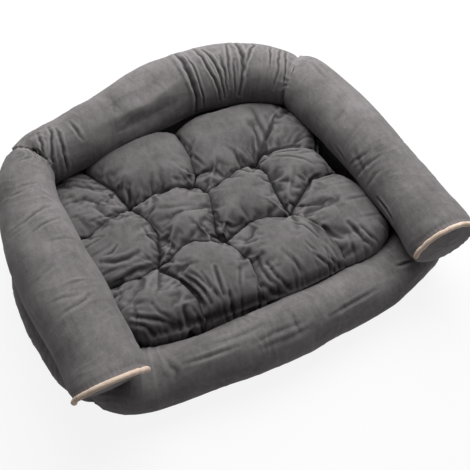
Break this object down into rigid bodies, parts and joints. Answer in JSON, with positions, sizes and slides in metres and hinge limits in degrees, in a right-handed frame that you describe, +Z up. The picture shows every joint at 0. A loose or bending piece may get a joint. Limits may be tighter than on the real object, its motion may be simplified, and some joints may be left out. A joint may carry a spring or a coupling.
{
  "type": "dog sofa bed",
  "caption": "Soft sofa bed for a dog: a low bolster ring, a taller roll round the back and both arms, and a loose tufted cushion with a zip.",
  "frame": {"origin": "middle of the plan, on the floor that the bed stands on", "axes": "+Z up, +X to the right of someone who looks at the open front, +Y towards the back roll"},
  "size_m": [0.8122, 0.6932, 0.219],
  "materials": {
    "suede_fabric": "dark grey brushed microfibre with a short nap",
    "piping_fabric": "plain woven beige cotton over a cord",
    "piping_cord": "twisted cotton cord",
    "fibre_filling": "loose white polyester fibre",
    "non_slip_panel": "black woven fabric printed with small rubber dots",
    "thread": "twisted dark grey polyester thread",
    "zip_tape": "dark grey woven tape",
    "zip_plastic": "dark moulded nylon",
    "zip_metal": "dark painted zinc"
  },
  "bodies": {
    "bed": {"bottom_panel": "non_slip_panel", "floor_padding": "fibre_filling", "floor_lining": "suede_fabric", "front_bolster_cover": "suede_fabric", "front_bolster_filling": "fibre_filling", "right_lower_wall_cover": "suede_fabric", "right_lower_wall_filling": "fibre_filling", "back_lower_wall_cover": "suede_fabric", "back_lower_wall_filling": "fibre_filling", "left_lower_wall_cover": "suede_fabric", "left_lower_wall_filling": "fibre_filling", "right_arm_cover": "suede_fabric", "right_arm_filling": "fibre_filling", "back_roll_cover": "suede_fabric", "back_roll_filling": "fibre_filling", "left_arm_cover": "suede_fabric", "left_arm_filling": "fibre_filling", "left_arm_end_panel": "suede_fabric", "right_arm_end_panel": "suede_fabric", "left_arm_piping": "piping_fabric", "right_arm_piping": "piping_fabric", "left_arm_piping_cord": "piping_cord", "right_arm_piping_cord": "piping_cord"},
    "cushion": {"cushion_cover": "suede_fabric", "cushion_filling": "fibre_filling", "cushion_tuft_stitches": "thread", "cushion_zip_tape": "zip_tape", "cushion_zip_teeth": "zip_plastic", "cushion_zip_stops": "zip_metal"},
    "zip_slider": {"cushion_zip_slider": "zip_metal"},
    "zip_puller": {"cushion_zip_puller": "zip_metal"}
  },
  "joints": [
    {"name": "cushion_lift", "type": "slide", "parent": "bed", "child": "cushion", "axis": [0, 0, 1], "range_m": [0, 0.3]},
    {"name": "zip_slide", "type": "slide", "parent": "cushion", "child": "zip_slider", "axis": [-1, 0, 0], "range_m": [0, 0.29]},
    {"name": "puller_swing", "type": "hinge", "parent": "zip_slider", "child": "zip_puller", "pos_m": [0.15912, 0.17909, 0.053], "axis": [0, 0, -1], "range_deg": [0, 150]}
  ]
}
